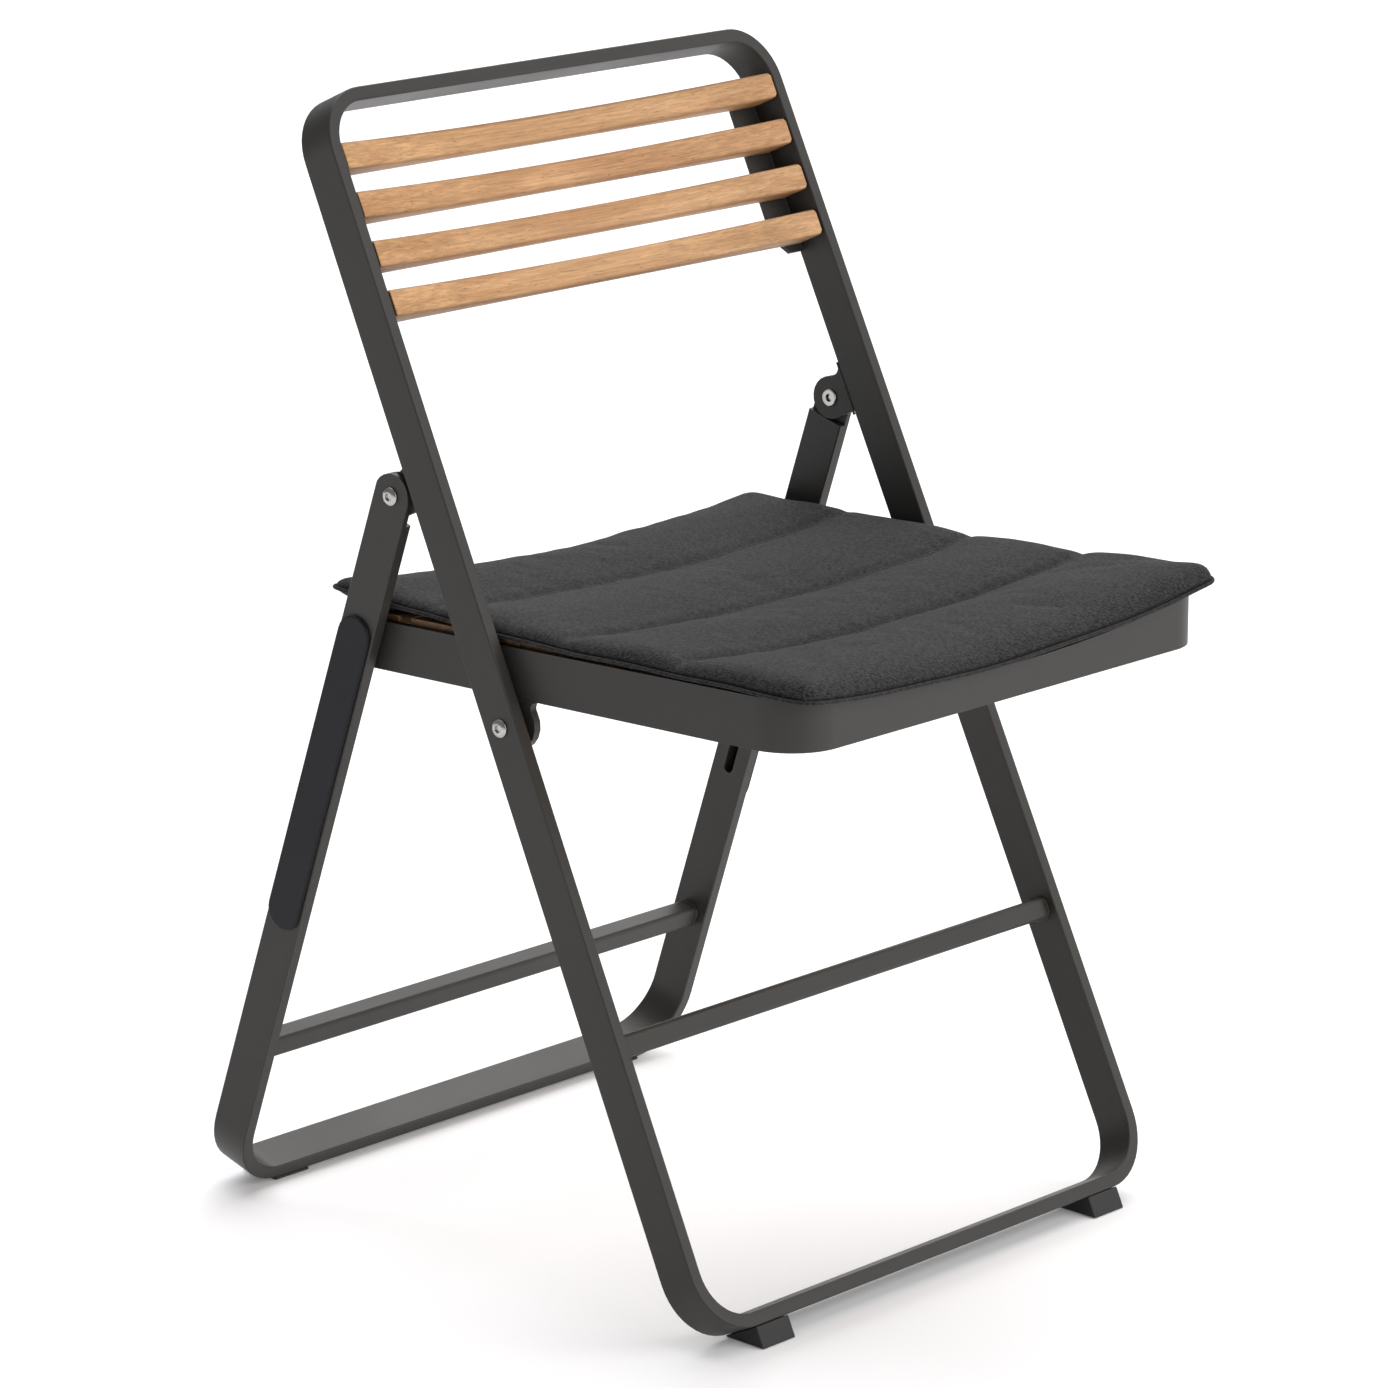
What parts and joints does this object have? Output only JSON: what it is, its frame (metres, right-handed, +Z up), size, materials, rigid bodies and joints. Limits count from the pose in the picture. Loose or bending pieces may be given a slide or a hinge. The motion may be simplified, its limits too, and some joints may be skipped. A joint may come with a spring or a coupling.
{
  "type": "folding chair",
  "caption": "Folding garden chair with a dark flat-bar frame, a slatted wooden back and a quilted pad on a slatted seat.",
  "frame": {"origin": "on the floor, at the middle of the open chair's outline", "axes": "+X to the sitter's left, +Y to the chair's back, +Z up; the seat faces -Y"},
  "size_m": [0.4932, 0.5354, 0.8091],
  "materials": {
    "coating": "solid bar with a fine satin anthracite powder coat",
    "wood": "lightly oiled light hardwood, planed, edges rounded",
    "fabric": "woven melange outdoor fabric over foam, quilted",
    "steel": "stainless, low domed heads",
    "rubber": "moulded black rubber",
    "cover": "moulded blue-black plastic, satin",
    "nylon": "turned black nylon"
  },
  "bodies": {
    "front": {"front_frame": "coating", "front_stretcher": "coating", "hinge_lug_left": "coating", "hinge_lug_right": "coating", "slat_bracket_left": "coating", "slat_bracket_right": "coating", "back_slat_1": "wood", "back_slat_2": "wood", "back_slat_3": "wood", "back_slat_4": "wood", "back_screw_1_left": "steel", "back_screw_1_right": "steel", "back_screw_2_left": "steel", "back_screw_2_right": "steel", "back_screw_3_left": "steel", "back_screw_3_right": "steel", "back_screw_4_left": "steel", "back_screw_4_right": "steel", "front_foot_left": "rubber", "front_foot_right": "rubber", "seat_pivot_screw_left": "steel", "seat_pivot_screw_right": "steel", "seat_pivot_barrel_left": "steel", "seat_pivot_barrel_right": "steel", "seat_pivot_spacer_left": "nylon", "seat_pivot_spacer_right": "nylon"},
    "rear": {"rear_frame": "coating", "rear_stretcher": "coating", "slot_cover_left": "cover", "slot_cover_right": "cover", "rear_foot_left": "rubber", "rear_foot_right": "rubber", "hinge_screw_left": "steel", "hinge_screw_right": "steel", "hinge_barrel_left": "steel", "hinge_barrel_right": "steel"},
    "pins": {"slot_pin_left": "steel", "slot_pin_right": "steel", "slot_guide_left": "nylon", "slot_guide_right": "nylon"},
    "seat": {"seat_frame": "coating", "seat_lug_left": "coating", "seat_lug_right": "coating", "seat_crossbar": "coating", "slat_ledge_left": "coating", "slat_ledge_right": "coating", "seat_slat_1": "wood", "seat_slat_2": "wood", "seat_slat_3": "wood", "seat_slat_4": "wood", "seat_slat_5": "wood", "seat_slat_6": "wood", "seat_slat_7": "wood", "seat_slat_8": "wood", "seat_pad": "fabric"}
  },
  "joints": [
    {"name": "seat_fold", "type": "hinge", "parent": "front", "child": "seat", "pos_m": [0, -0.01516, 0.4], "axis": [-1, 0, 0], "range_deg": [0, 116.2]},
    {"name": "rear_fold", "type": "hinge", "parent": "front", "child": "rear", "pos_m": [0, 0.09317, 0.54192], "axis": [-1, 0, 0], "range_deg": [0, 43.02]},
    {"name": "slot_pin_slide", "type": "slide", "parent": "rear", "child": "pins", "axis": [0, 0.2797, -0.9601], "range_m": [0, 0.2007]}
  ],
  "couplings": [
    {"joint": "rear_fold", "follows": "seat_fold", "ratio": 0.37013},
    {"joint": "slot_pin_slide", "follows": "seat_fold", "m_per_rad": 0.098911}
  ]
}
